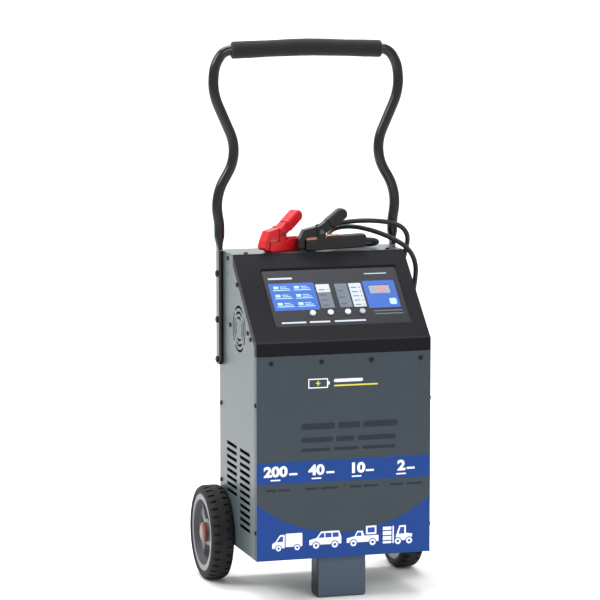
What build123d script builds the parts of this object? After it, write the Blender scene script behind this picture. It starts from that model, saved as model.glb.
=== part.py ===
from build123d import *
import os
from math import atan2, cos, pi, radians, sin, sqrt, tan

# Wheeled battery charger for a garage: a tall sheet-steel case with a sloping control panel,
# two wheels on an axle behind, a front foot, a bent tube handle, and two leads with clamps.
# Millimetres. X runs along the case's width, "depth" is measured back from the front panel,
# Z is height above the floor, and the origin is under the middle of the whole charger.

# ---- driving dimensions ----
CASE_W = 320.0
CASE_D = 245.0
CASE_BOTTOM = 75.0
CASE_TOP = 600.0
FRONT_TOP = 436.5          # top edge of the front panel
LIP_TOP = 463.0            # where the sloping face starts
SLOPE_START = 4.4          # depth of that line
SLOPE_END = 153.75         # depth where the sloping face meets the top panel
SHEET = 1.5
BEZEL_T = 3.0
WRAP = 14.0                # side flange of the front panel and side skirt of the bezel
GAP = 0.3

WHEEL_R = 86.0
TYRE_W = 42.0
WHEEL_OUT = 21.7           # from the case side to the tyre's middle plane
AXLE_DEPTH = 223.3
AXLE_R = 6.0

TUBE_R = 9.5
HANDLE_DEPTH = 230.0
LEG_X = 164.0
LEG_T = 8.0                # flattened leg
LEG_W = 25.0
LEG_BOTTOM = 392.0
LEG_FLAT_TOP = 601.0
TUBE_START = 625.0
GRIP_HALF = 141.0
GRIP_R = 15.8

SCREW_R = 2.0
SCREW_HEAD_R = 4.0
SCREW_HEAD_H = 2.6

LEAD_D = 9.0
COIL_R = 54.0              # middle of the turns
RED_TURNS = 2.25
BLACK_TURNS = 2.25

# ---- worked out ----
FRONT_Y = -(AXLE_DEPTH + WHEEL_R - SCREW_HEAD_H) / 2
SIDE = CASE_W / 2
SLOPE_ANGLE = atan2(CASE_TOP - LIP_TOP, SLOPE_END - SLOPE_START)
SLOPE_RISE = tan(SLOPE_ANGLE)
WHEEL_X = SIDE + WHEEL_OUT
INNER = SIDE - SHEET       # inner face of the side panels
REAR = CASE_D - SHEET      # inner face of the rear panel
FLOOR_TOP = CASE_BOTTOM + SHEET
LEAD_R = LEAD_D / 2


def at(x, depth, z):
    return (x, FRONT_Y + depth, z)


def block(x0, x1, d0, d1, z0, z1):
    centre = at((x0 + x1) / 2, (d0 + d1) / 2, (z0 + z1) / 2)
    return Pos(*centre) * Box(abs(x1 - x0), abs(d1 - d0), abs(z1 - z0))


def rod(start, direction, radius, length):
    base = Plane(origin=start, z_dir=direction)
    return base * Cylinder(radius, length, align=(Align.CENTER, Align.CENTER, Align.MIN))


def side_plate(outline, x0, x1):
    """A plate square to X from an outline of (depth, z) points."""
    points = [(FRONT_Y + depth, z) for depth, z in outline]
    face = Plane.YZ.offset(min(x0, x1)) * make_face(Polyline(*points, close=True))
    return extrude(face, amount=abs(x1 - x0), dir=(1, 0, 0))


def mirrored(shape):
    return mirror(shape, about=Plane.YZ)


def on_slope(x, along, out):
    """A location on the sloping face: X, distance up the slope, height off its surface."""
    base = Plane(
        origin=at(0, SLOPE_START, LIP_TOP),
        x_dir=(1, 0, 0),
        z_dir=(0, -sin(SLOPE_ANGLE), cos(SLOPE_ANGLE)),
    )
    return base * Pos(x, along, out)


def slope_z(depth):
    return LIP_TOP + (depth - SLOPE_START) * SLOPE_RISE


def write(name, *solids):
    shape = solids[0] if len(solids) == 1 else Compound(children=list(solids))
    export_step(shape, f"parts/{name}.step")


# ---- case screws: where each one goes in and which way it points out ----
FRONT_SCREW_X = (-133.5, -41.5, 50.0, 141.3)
FRONT_SCREW_Z = 424.0
SIDE_SCREWS = ((235, 321), (235, 180), (7, 351), (7, 124.7), (125, 549), (38, 463), (187, 590))
REAR_SCREW_X = (-120.0, 0.0, 120.0)
REAR_SCREW_Z = (84.0, 589.0)
TOP_SCREW_X = (-133.0, 133.0)
TOP_SCREW_DEPTH = 164.0
FAN_DEPTH = 113.0
FAN_Z = 472.0
FAN_SCREW_SPACING = 116.0


def screw_places():
    places = [(at(x, 0, FRONT_SCREW_Z), (0, -1, 0)) for x in FRONT_SCREW_X]
    for side in (-1, 1):
        places += [(at(side * SIDE, depth, z), (side, 0, 0)) for depth, z in SIDE_SCREWS]
    places += [(at(x, CASE_D, z), (0, 1, 0)) for x in REAR_SCREW_X for z in REAR_SCREW_Z]
    places += [(at(x, TOP_SCREW_DEPTH, CASE_TOP), (0, 0, 1)) for x in TOP_SCREW_X]
    half = FAN_SCREW_SPACING / 2
    places += [(at(-SIDE, FAN_DEPTH + shift, FAN_Z), (-1, 0, 0)) for shift in (-half, half)]
    return places


def inward(direction):
    return tuple(-value for value in direction)


def case_screw(place, direction):
    """Pan-head screw, head outside."""
    tip = 9.0
    head = Cylinder(SCREW_HEAD_R, SCREW_HEAD_H, align=(Align.CENTER, Align.CENTER, Align.MIN))
    head = fillet(head.edges().sort_by(Axis.Z)[-1], 1.4)
    shank = Cylinder(SCREW_R, tip, align=(Align.CENTER, Align.CENTER, Align.MAX))
    return Plane(origin=place, z_dir=direction) * (head + shank)


def screw_holes():
    depth = 12.0
    clear = SCREW_R + 0.1
    tools = []
    for place, direction in screw_places():
        tools.append(rod(place, inward(direction), clear, depth))
    return tools


HOLES = screw_holes()


def drilled(shape):
    box = shape.bounding_box()
    near = []
    for hole in HOLES:
        other = hole.bounding_box()
        if (other.min.X <= box.max.X and other.max.X >= box.min.X
                and other.min.Y <= box.max.Y and other.max.Y >= box.min.Y
                and other.min.Z <= box.max.Z and other.max.Z >= box.min.Z):
            near.append(hole)
    return shape - near if near else shape


# ---- sheet-steel case ----
FLANGE = 18.0


def base_pan():
    pan = block(-INNER, INNER, SHEET, REAR, CASE_BOTTOM, FLOOR_TOP)
    for side in (-1, 1):
        pan += block(side * (INNER - SHEET), side * INNER, 24, 240, CASE_BOTTOM, FLOOR_TOP + FLANGE)
    pan += block(-150, 150, REAR - SHEET, REAR, CASE_BOTTOM, FLOOR_TOP + FLANGE)
    axle = rod(at(-SIDE, AXLE_DEPTH, WHEEL_R), (1, 0, 0), AXLE_R + 0.1, CASE_W)
    return drilled(pan - axle)


def front_panel():
    sheet = block(-SIDE, SIDE, 0, SHEET, CASE_BOTTOM, FRONT_TOP)
    for side in (-1, 1):
        sheet += block(side * INNER, side * SIDE, 0, WRAP, CASE_BOTTOM, FRONT_TOP)
    return drilled(sheet)


VENT_L = 66.0
VENT_H = 6.5
VENT_PITCH = 12.4
VENT_TOP = 256.0
VENT_COLUMNS = ((163.5, 8), (77.0, 12))
GRILLE_RINGS = (39.5, 29.5, 20.0)
GRILLE_SLOT = 4.4


def vent_tools():
    tools = []
    for depth, count in VENT_COLUMNS:
        for row in range(count):
            z = VENT_TOP - row * VENT_PITCH
            tools.append(block(INNER - 1, SIDE + 1, depth - VENT_L / 2, depth + VENT_L / 2,
                               z - VENT_H / 2, z + VENT_H / 2))
    return tools


def grille_tools():
    """Ring slots in front of the fan, broken by four solid spokes."""
    tools = []
    for radius in GRILLE_RINGS:
        ring = Circle(radius + GRILLE_SLOT / 2) - Circle(radius - GRILLE_SLOT / 2)
        for spoke in (45, 135):
            ring -= Rot(0, 0, spoke) * Rectangle(120, 9)
        tools.append(extrude(ring, amount=6))
    place = Plane(origin=at(-SIDE - 1, FAN_DEPTH, FAN_Z), z_dir=(1, 0, 0))
    return [place * tool for tool in tools]


def side_outline():
    edge = WRAP + GAP
    drop = WRAP / cos(SLOPE_ANGLE) + GAP
    top = CASE_TOP - SHEET
    back = SLOPE_END + GAP
    return [(edge, CASE_BOTTOM), (REAR, CASE_BOTTOM), (REAR, top), (back, top),
            (back, slope_z(back) - drop), (edge, slope_z(edge) - drop)]


def side_panel():
    panel = side_plate(side_outline(), INNER, SIDE)
    panel += block(INNER - SHEET, INNER, 2, 21, FLOOR_TOP + 1, 432)
    axle = rod(at(INNER - 5, AXLE_DEPTH, WHEEL_R), (1, 0, 0), AXLE_R + 0.1, 10)
    bolts = [rod(at(INNER - 5, HANDLE_DEPTH, z), (1, 0, 0), BOLT_R + 0.1, 10) for z in BOLT_Z]
    return panel - vent_tools() - axle - bolts


def left_side_panel():
    return drilled(mirrored(side_panel()) - grille_tools())


def right_side_panel():
    return drilled(side_panel())


BOLT_Z = (558.0, 474.5, 402.0)
BOLT_R = 3.0
HOOK_X = 136.0
HOOK_W = 25.0
HOOK_T = 3.0
HOOK_Z = 404.0
HOOK_LIP = 445.0
HOOK_REACH = 306.0         # depth of the lip's inner face
RED_GLAND = (-30.0, 330.0)
BLACK_GLAND = (22.0, 290.0)
GLAND_NECK_R = 9.0
INLET_X = -70.0
INLET_Z = 130.0
INLET_W = 27.0
INLET_H = 20.0
BREAKER_X = -70.0
BREAKER_Z = 190.0
BREAKER_R = 7.0


def rear_panel():
    sheet = block(-SIDE, SIDE, REAR, CASE_D, CASE_BOTTOM, CASE_TOP - SHEET)
    for side in (-1, 1):
        sheet += block(side * (INNER - SHEET), side * INNER, 224, REAR, 100, 570)
        for z in BOLT_Z:
            sheet -= rod(at(side * INNER, HANDLE_DEPTH, z), (-side, 0, 0), BOLT_R + 0.1, 5)
    for x, z in (RED_GLAND, BLACK_GLAND):
        sheet -= rod(at(x, REAR - 1, z), (0, 1, 0), GLAND_NECK_R + 0.1, 5)
    sheet -= rod(at(BREAKER_X, REAR - 1, BREAKER_Z), (0, 1, 0), BREAKER_R + 0.1, 5)
    sheet -= block(INLET_X - INLET_W / 2 - 0.1, INLET_X + INLET_W / 2 + 0.1, REAR - 1, CASE_D + 1,
                   INLET_Z - INLET_H / 2 - 0.1, INLET_Z + INLET_H / 2 + 0.1)
    return drilled(sheet)


def top_panel():
    sheet = block(-SIDE, SIDE, SLOPE_END + GAP, CASE_D, CASE_TOP - SHEET, CASE_TOP)
    for side in (-1, 1):
        sheet += block(side * (INNER - SHEET), side * INNER, 172, 238, 578, CASE_TOP - SHEET)
    sheet += block(-150, 150, REAR - SHEET, REAR, 578, CASE_TOP - SHEET)
    return drilled(sheet)


# ---- sloping control panel ----
WINDOW_X = (-116.0, 135.0)
WINDOW_S = (34.0, 165.0)
OVERLAY_T = 1.2
DISPLAY_X = 93.5
DISPLAY_S = 112.5
DISPLAY_W = 39.0
DISPLAY_H = 19.0
BUTTON_X = (-42.0, -9.0, 23.0, 50.0)
BUTTON_NAMES = ("mode", "battery_type", "charge_rate", "display_select")
BUTTON_S = 62.6
BUTTON_R = 5.3
BUTTON_TRAVEL = 1.0
BOARD_OUT = -15.0          # top face of the circuit board


BEZEL_TABS = (38.0, 125.0)  # depths of the tabs that the side screws go into
TAB_HALF = 8.0


def bezel_tab(middle):
    """Outline of a tab that hangs below the side skirt, inside the side panel."""
    upper = WRAP / cos(SLOPE_ANGLE) - 8
    lower = 30.0 / cos(SLOPE_ANGLE)
    front = middle - TAB_HALF
    back = middle + TAB_HALF
    return [(front, slope_z(front) - upper), (back, slope_z(back) - upper),
            (back, slope_z(back) - lower), (front, slope_z(front) - lower)]


def control_bezel():
    back = BEZEL_T / cos(SLOPE_ANGLE)
    outer = [(0, FRONT_TOP + 0.2), (0, LIP_TOP - 3.5), (SLOPE_START, LIP_TOP), (SLOPE_END, CASE_TOP)]
    inner = [(SLOPE_END, CASE_TOP - back), (SLOPE_START + 1.2, slope_z(SLOPE_START + 1.2) - back),
             (BEZEL_T, LIP_TOP - 6), (BEZEL_T, FRONT_TOP + 0.2)]
    body = side_plate(outer + inner, -SIDE, SIDE)
    body += block(-150, 150, SHEET + 0.1, BEZEL_T, 414, FRONT_TOP + 1)
    body += block(-150, 150, SLOPE_END - 2.5, 171, CASE_TOP - 3.2, CASE_TOP - SHEET - 0.1)
    drop = WRAP / cos(SLOPE_ANGLE)
    skirt = outer + [(SLOPE_END, CASE_TOP - drop), (WRAP, slope_z(WRAP) - drop), (WRAP, FRONT_TOP + 0.2)]
    for side in (-1, 1):
        body += side_plate(skirt, side * (INNER - 0.1), side * SIDE)
        for middle in BEZEL_TABS:
            body += side_plate(bezel_tab(middle), side * (SIDE - BEZEL_T), side * (INNER - 0.1))
    width = WINDOW_X[1] - WINDOW_X[0]
    height = WINDOW_S[1] - WINDOW_S[0]
    middle = (sum(WINDOW_X) / 2, sum(WINDOW_S) / 2)
    window = extrude(RectangleRounded(width, height, 5), amount=2 * BEZEL_T + 2, both=False)
    body -= on_slope(middle[0], middle[1], -BEZEL_T - 4) * window
    flare = loft([RectangleRounded(width, height, 5), Pos(0, 0, 2) * RectangleRounded(width + 5, height + 5, 7)])
    body -= on_slope(middle[0], middle[1], -1.8) * flare
    for x in (WINDOW_X[0] - 6.5, WINDOW_X[1] + 6.5):
        for along in (WINDOW_S[0] + 8, WINDOW_S[1] - 8):
            post = Cylinder(3.5, -BOARD_OUT - BEZEL_T, align=(Align.CENTER, Align.CENTER, Align.MAX))
            body += on_slope(x, along, -BEZEL_T) * post
    return drilled(body)


def control_overlay():
    width = WINDOW_X[1] - WINDOW_X[0] + 5.5
    height = WINDOW_S[1] - WINDOW_S[0] + 10
    sheet = on_slope(sum(WINDOW_X) / 2, sum(WINDOW_S) / 2, -BEZEL_T - OVERLAY_T / 2) * Box(
        width, height, OVERLAY_T)
    for x in BUTTON_X:
        sheet -= on_slope(x, BUTTON_S, -BEZEL_T) * Cylinder(BUTTON_R + GAP, 4)
    sheet -= on_slope(DISPLAY_X, DISPLAY_S, -BEZEL_T) * Box(DISPLAY_W + 0.2, DISPLAY_H + 0.2, 4)
    return sheet


def display_window():
    return on_slope(DISPLAY_X, DISPLAY_S, -BEZEL_T - 0.6) * Box(DISPLAY_W, DISPLAY_H, 1.2)


def display_module():
    return on_slope(DISPLAY_X, DISPLAY_S, -BEZEL_T - OVERLAY_T - 5.0) * Box(DISPLAY_W + 4, DISPLAY_H + 4, 9.6)


def control_board():
    width = WINDOW_X[1] - WINDOW_X[0] + 20
    board = on_slope(sum(WINDOW_X) / 2, sum(WINDOW_S) / 2, BOARD_OUT - 0.8) * Box(width, 122, 1.6)
    for along, x in ((140, -70), (105, -60), (140, 20), (95, 10)):
        board += on_slope(x, along, BOARD_OUT - 1.6 - 2.5) * Box(22, 14, 5.2)
    return board


def push_button(x):
    """Round cap through the overlay, with a collar under it and a stem to its switch."""
    bottom = -BEZEL_T - OVERLAY_T
    up = (Align.CENTER, Align.CENTER, Align.MIN)
    cap = Pos(0, 0, bottom - 0.6) * Cylinder(BUTTON_R, 0.8 - bottom, align=up)
    cap = fillet(cap.edges().sort_by(Axis.Z)[-1], 1.0)
    collar = Pos(0, 0, bottom - GAP - 1.2) * Cylinder(BUTTON_R + 1.4, 1.2, align=up)
    stem = Pos(0, 0, bottom - 5.2) * Cylinder(2.0, 4.4, align=up)
    return on_slope(x, BUTTON_S, 0) * (cap + collar + stem)


PLUNGER_H = 0.8            # leaves 0.3 mm under a key's stem when it is fully pressed


def button_switch(x):
    base = on_slope(x, BUTTON_S, BOARD_OUT + 1.75) * Box(6.2, 6.2, 3.5)
    top = BOARD_OUT + 3.5
    return base + on_slope(x, BUTTON_S, top + PLUNGER_H / 2) * Cylinder(1.7, PLUNGER_H)


# ---- front foot ----
FOOT_W = 90.0
FOOT_DEPTH = (12.0, 50.0)
FOOT_T = 2.5


def front_foot():
    half = FOOT_W / 2
    front, back = FOOT_DEPTH
    outer = block(-half, half, front, back, 0, CASE_BOTTOM - 0.1)
    edges = outer.edges().filter_by(Axis.Z).sort_by(Axis.Y)[:2]
    outer = fillet(edges, 5)
    low = outer.edges().group_by(Axis.Z)[0]
    outer = fillet([edge for edge in low if edge.center().Y < FRONT_Y + back - 1], 4.9)
    hollow = block(-half + FOOT_T, half - FOOT_T, front + FOOT_T, back + 1, FOOT_T, CASE_BOTTOM - 0.1 - FOOT_T)
    return outer - hollow - foot_bolt_holes()


def foot_bolt_places():
    return [(x, 32.0) for x in (-30.0, 30.0)]


def foot_bolt_holes():
    return [rod(at(x, depth, CASE_BOTTOM - 5), (0, 0, 1), 3.1, 10) for x, depth in foot_bolt_places()]


def foot_bolt(x, depth):
    bolt = rod(at(x, depth, CASE_BOTTOM - 0.1 - FOOT_T - 4), (0, 0, 1), 5.5, 4)
    bolt += rod(at(x, depth, CASE_BOTTOM - 4), (0, 0, 1), 3.0, 14)
    nut = extrude(RegularPolygon(5.8, 6), amount=5)
    return bolt + Pos(*at(x, depth, FLOOR_TOP + 0.1)) * nut


# ---- wheels and axle, drawn for the right-hand side ----
RIM_R = 66.0
RIM_LIP_R = 70.0
BOSS_R = 18.0
BOSS = (-17.0, 11.0)       # the hub boss, measured from the tyre's middle plane
LUGS = 34


def turned(points):
    """A solid turned about X from (axial, radius) points."""
    return revolve(make_face(Polyline(*points, close=True)), axis=Axis.X)


def tyre():
    half = TYRE_W / 2
    seat = 16.8
    body = turned([(-seat, RIM_R + 0.1), (seat, RIM_R + 0.1), (seat, RIM_LIP_R + 0.2),
                   (half - 1.5, RIM_LIP_R + 0.2), (half, 73), (half, 77), (half - 2.5, 82.5),
                   (half - 7, 85.2), (half - 12, WHEEL_R), (-half + 12, WHEEL_R), (-half + 7, 85.2),
                   (-half + 2.5, 82.5), (-half, 77), (-half, 73), (-half + 1.5, RIM_LIP_R + 0.2),
                   (-seat, RIM_LIP_R + 0.2)])
    cuts = []
    for lug in range(LUGS):
        for side, shift in ((-1, 0.25), (1, 0.75)):
            cut = Pos(side * 15.0, 0, WHEEL_R) * Box(18, 5.2, 7.8)
            cuts.append(Rot((lug + shift) * 360 / LUGS, 0, 0) * cut)
    return body - cuts


def hub():
    """One-piece moulded wheel: a rim, a dished web with four windows, and a boss."""
    seat = 17.0
    edge = 19.0
    rim = turned([(-edge, 60), (edge, 60), (edge, RIM_LIP_R), (seat, RIM_LIP_R), (seat, RIM_R),
                  (-seat, RIM_R), (-seat, RIM_LIP_R), (-edge, RIM_LIP_R)])
    web = turned([(-4, AXLE_R), (-4, 61), (7, 61), (9, 50), (9, AXLE_R)])
    for turn in (0, 90, 180, 270):
        outer = Circle(55.5)
        pane = outer - Circle(24)
        wedge = make_face(Polyline((0, 0), (90, 58), (90, -58), close=True))
        window = fillet((pane & wedge).vertices(), 4)
        web -= Rot(turn, 0, 0) * (Plane.YZ.offset(-10) * extrude(window, amount=25))
    boss = turned([(BOSS[0], AXLE_R + 0.1), (BOSS[1], AXLE_R + 0.1), (BOSS[1], BOSS_R), (BOSS[0], BOSS_R)])
    wheel = rim + web + boss
    return wheel - rod((-30, 0, 0), (1, 0, 0), AXLE_R + 0.1, 60)


def hub_cap():
    start = BOSS[1] + 0.1
    return turned([(start, 15.5), (start, BOSS_R), (17.5, BOSS_R), (20.0, 13), (20.8, 0.0),
                   (18.8, 0.0), (18.2, 12), (16, 15.5)])


def place_wheel(shape, side):
    right = Pos(*at(WHEEL_X, AXLE_DEPTH, WHEEL_R)) * shape
    return right if side > 0 else mirrored(right)


AXLE_END = 197.5


def axle():
    return rod(at(-AXLE_END, AXLE_DEPTH, WHEEL_R), (1, 0, 0), AXLE_R, 2 * AXLE_END)


def axle_ring(x0, x1, radius):
    centre = at(x0, AXLE_DEPTH, WHEEL_R)
    return rod(centre, (1, 0, 0), radius, x1 - x0) - rod(centre, (1, 0, 0), AXLE_R + 0.01, x1 - x0)


def axle_fasteners():
    """A spacer and a washer either side of each hub, and a push-on nut at each end."""
    boss_in = WHEEL_X + BOSS[0]
    boss_out = WHEEL_X + BOSS[1]
    right = [axle_ring(SIDE + 0.1, boss_in - GAP, 11), axle_ring(boss_out + GAP, boss_out + 1.8, 11),
             axle_ring(boss_out + 1.9, boss_out + 4.4, 9)]
    return right + [mirrored(ring) for ring in right]


# ---- handle ----
HANDLE_HALF = ((LEG_X, TUBE_START), (LEG_X, 648.0), (173.0, 697.0), (126.8, 774.0), (176.0, 885.0),
               (172.0, 932.0), (155.0, 958.8))
HANDLE_BENDS = (100.0, 95.0, 80.0, 100.0, 60.0, 26.0)
HANDLE_CROWN = 964.0
CROWN_BEND = 1000.0


def handle_tube():
    right = [at(x, HANDLE_DEPTH, z) for x, z in HANDLE_HALF]
    left = [at(-x, HANDLE_DEPTH, z) for x, z in reversed(HANDLE_HALF)]
    bends = list(HANDLE_BENDS)
    path = FilletPolyline(*right, at(0, HANDLE_DEPTH, HANDLE_CROWN), *left,
                          radius=bends + [CROWN_BEND] + bends[::-1])
    ring = Circle(TUBE_R) - Circle(TUBE_R - 1.6)
    tube = sweep(Plane(origin=path @ 0, z_dir=path % 0) * ring, path=path)
    leg = flattened_leg()
    return tube + leg + mirrored(leg)


def flattened_leg():
    round_end = Pos(*at(LEG_X, HANDLE_DEPTH, TUBE_START)) * Circle(TUBE_R)
    flat = Rot(0, 0, 90) * SlotOverall(LEG_W, LEG_T)
    leg = loft([Pos(*at(LEG_X, HANDLE_DEPTH, LEG_FLAT_TOP)) * flat, round_end])
    straight = extrude(Pos(*at(LEG_X, HANDLE_DEPTH, LEG_BOTTOM)) * flat, amount=LEG_FLAT_TOP - LEG_BOTTOM)
    half = LEG_W / 2
    bottom = block(LEG_X - LEG_T, LEG_X + LEG_T, HANDLE_DEPTH - half, HANDLE_DEPTH + half,
                   LEG_BOTTOM + half, CASE_TOP)
    bottom += rod(at(LEG_X - LEG_T, HANDLE_DEPTH, LEG_BOTTOM + half), (1, 0, 0), half, 2 * LEG_T)
    leg += straight & bottom
    for z in BOLT_Z:
        leg -= rod(at(LEG_X - LEG_T, HANDLE_DEPTH, z), (1, 0, 0), BOLT_R + 0.1, 2 * LEG_T)
    return leg


def handle_grip():
    end_z = HANDLE_CROWN - (HANDLE_CROWN - HANDLE_HALF[-1][1]) * GRIP_HALF / HANDLE_HALF[-1][0]
    path = FilletPolyline(at(-GRIP_HALF, HANDLE_DEPTH, end_z), at(0, HANDLE_DEPTH, HANDLE_CROWN),
                          at(GRIP_HALF, HANDLE_DEPTH, end_z), radius=CROWN_BEND)
    ring = Circle(GRIP_R) - Circle(TUBE_R + 0.01)
    grip = sweep(Plane(origin=path @ 0, z_dir=path % 0) * ring, path=path)
    rims = [edge for edge in grip.edges() if edge.length > 2 * pi * GRIP_R - 1
            and abs(edge.center().X) > GRIP_HALF - 1]
    return fillet(rims, 3)


def handle_bolt(side, z):
    """Button-head bolt from outside, with its washer and nut inside the case."""
    outer = LEG_X + LEG_T / 2
    bolt = rod(at(outer, HANDLE_DEPTH, z), (1, 0, 0), 6.0, 3.6)
    bolt = fillet(bolt.edges().sort_by(Axis.X)[-1], 2.2)
    bolt += rod(at(outer - 20, HANDLE_DEPTH, z), (1, 0, 0), BOLT_R, 20)
    inner = INNER - SHEET - 0.1
    washer = rod(at(inner - 1.2, HANDLE_DEPTH, z), (1, 0, 0), 6.0, 1.2)
    nut = Plane(origin=at(inner - 6.2, HANDLE_DEPTH, z), z_dir=(1, 0, 0)) * extrude(
        RegularPolygon(5.6, 6), amount=5)
    shape = bolt + washer + nut
    return shape if side > 0 else mirrored(shape)


# ---- cooling fan behind the left-hand grille ----
FAN_W = 92.0
FAN_T = 25.0
FAN_BORE = 43.0
FAN_FACE = -INNER + 0.15


def fan_frame():
    """Square frame with two lugs towards its screws, and a hub disc on four struts."""
    up = (Align.CENTER, Align.CENTER, Align.MIN)
    place = Plane(origin=at(FAN_FACE, FAN_DEPTH, FAN_Z), x_dir=(0, 1, 0), z_dir=(1, 0, 0))
    frame = extrude(RectangleRounded(FAN_W, FAN_W, 5) - Circle(FAN_BORE), amount=FAN_T)
    lugs = Box(FAN_W + 40, 16, 3, align=up)
    frame += lugs - Pos(0, 0, -1) * Cylinder(FAN_W / 2 - 1, 5, align=up)
    hub_disc = Pos(0, 0, FAN_T - 3) * Cylinder(17, 3, align=(Align.CENTER, Align.CENTER, Align.MIN))
    for turn in (45, 135, 225, 315):
        strut = Pos(30, 0, FAN_T - 1.5) * Box(32, 5, 3)
        hub_disc += Rot(0, 0, turn) * strut
    frame += hub_disc
    frame -= Pos(0, 0, FAN_T - 4) * Cylinder(1.6, 6, align=(Align.CENTER, Align.CENTER, Align.MIN))
    return drilled(place * frame)


def fan_rotor():
    place = Plane(origin=at(FAN_FACE, FAN_DEPTH, FAN_Z), z_dir=(1, 0, 0))
    rotor = Pos(0, 0, 3) * Cylinder(16, 18, align=(Align.CENTER, Align.CENTER, Align.MIN))
    blades = 7
    for index in range(blades):
        blade = Pos(28, 0, 12) * (Rot(38, 0, 0) * Box(26, 19, 1.6))
        rotor += Rot(0, 0, index * 360 / blades) * blade
    rotor += Pos(0, 0, 20) * Cylinder(1.5, 4.5, align=(Align.CENTER, Align.CENTER, Align.MIN))
    return place * rotor


# ---- what the case holds ----
CORE_W = 130.0
CORE_H = 108.0
CORE_T = 56.0
CORE_DEPTH = 120.0
CORE_Z = FLOOR_TOP + 3.0
LIMB_W = 40.0
WINDOW_W = 25.0


def transformer_core():
    front = CORE_DEPTH - CORE_T / 2
    back = CORE_DEPTH + CORE_T / 2
    core = block(-CORE_W / 2, CORE_W / 2, front, back, CORE_Z, CORE_Z + CORE_H)
    for side in (-1, 1):
        near = side * LIMB_W / 2
        core -= block(near, near + side * WINDOW_W, front - 1, back + 1, CORE_Z + 22, CORE_Z + CORE_H - 22)
    return core


def transformer_winding():
    reach = CORE_T / 2 + WINDOW_W - 3
    half = LIMB_W / 2 + WINDOW_W - 1
    coil = block(-half, half, CORE_DEPTH - reach, CORE_DEPTH + reach, CORE_Z + 23, CORE_Z + CORE_H - 23)
    coil = fillet(coil.edges().filter_by(Axis.Z), 10)
    limb = block(-LIMB_W / 2 - 0.5, LIMB_W / 2 + 0.5, CORE_DEPTH - CORE_T / 2 - 0.5,
                 CORE_DEPTH + CORE_T / 2 + 0.5, CORE_Z, CORE_Z + CORE_H)
    return coil - limb


def transformer_bracket():
    """Two folded feet the core stands on, with a strap over the top."""
    front = CORE_DEPTH - CORE_T / 2
    back = CORE_DEPTH + CORE_T / 2
    top = CORE_Z + CORE_H
    half = CORE_W / 2
    strap = block(-half - 2.6, half + 2.6, front + 8, back - 8, FLOOR_TOP + 0.1, top + 2.6)
    strap -= block(-half - 0.1, half + 0.1, front, back, CORE_Z - 3.1, top + 0.1)
    shelf = block(-half - 0.1, half + 0.1, front + 8, back - 8, FLOOR_TOP + 0.1, CORE_Z - 0.1)
    ears = block(-half - 20, half + 20, front + 12, back - 12, FLOOR_TOP + 0.1, FLOOR_TOP + 2.6)
    return strap + shelf + ears


SINK_X = (-145.0, -50.0)
SINK_Z = 352.0
SINK_H = 150.0
FINS = 7
DIODE_X = (-128.0, -97.5, -67.0)


def rectifier_heatsink():
    """Finned aluminium block bolted to the rear panel, in the fan's air."""
    face = REAR - 0.1
    left, right = SINK_X
    fin = 3.0
    sink = block(left, right, face - 8, face, SINK_Z, SINK_Z + SINK_H)
    for index in range(FINS):
        x = left + index * (right - left - fin) / (FINS - 1)
        sink += block(x, x + fin, face - 42, face - 7, SINK_Z, SINK_Z + SINK_H)
    return sink


def rectifier_diode(x):
    case = block(x - 10, x + 10, REAR - 16, REAR - 0.2, SINK_Z - 38, SINK_Z - 14)
    tab = block(x - 8, x + 8, REAR - 3.2, REAR - 0.2, SINK_Z - 15, SINK_Z - 0.1)
    return case + tab


CAPACITOR_X = 118.0


def smoothing_capacitor():
    can = rod(at(CAPACITOR_X, CORE_DEPTH, FLOOR_TOP + 0.1), (0, 0, 1), 25, 85)
    studs = [rod(at(CAPACITOR_X + shift, CORE_DEPTH, FLOOR_TOP + 85), (0, 0, 1), 3, 9) for shift in (-10, 10)]
    return can + studs


def circuit_breaker():
    body = block(BREAKER_X - 14, BREAKER_X + 14, REAR - 40, REAR - 0.1, BREAKER_Z - 17, BREAKER_Z + 17)
    neck = rod(at(BREAKER_X, REAR - 0.2, BREAKER_Z), (0, 1, 0), BREAKER_R, 8)
    ring = rod(at(BREAKER_X, CASE_D + 0.1, BREAKER_Z), (0, 1, 0), 10.5, 3)
    well = rod(at(BREAKER_X, REAR - 14, BREAKER_Z), (0, 1, 0), 4.4, 40)
    return body + neck + ring - well


def breaker_button():
    button = rod(at(BREAKER_X, REAR - 8, BREAKER_Z), (0, 1, 0), 4.0, 19)
    return fillet(button.edges().sort_by(Axis.Y)[-1], 1.2)


def mains_inlet():
    body = block(INLET_X - INLET_W / 2, INLET_X + INLET_W / 2, REAR - 18, CASE_D + 0.1,
                 INLET_Z - INLET_H / 2, INLET_Z + INLET_H / 2)
    plate = block(INLET_X - 25, INLET_X + 25, CASE_D + 0.1, CASE_D + 3.1, INLET_Z - 14, INLET_Z + 14)
    well = block(INLET_X - 12, INLET_X + 12, REAR - 13, CASE_D + 4, INLET_Z - 8, INLET_Z + 8)
    shell = body + plate - well
    for shift, height in ((-7, -2), (0, 2), (7, -2)):
        x = INLET_X + shift
        z = INLET_Z + height
        shell += block(x - 1, x + 1, REAR - 14, CASE_D - 3, z - 2, z + 2)
    return shell


GLAND_OUT = 11.0           # the lead's centre line, out from the rear panel
GLAND_REACH = 24.0


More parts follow.
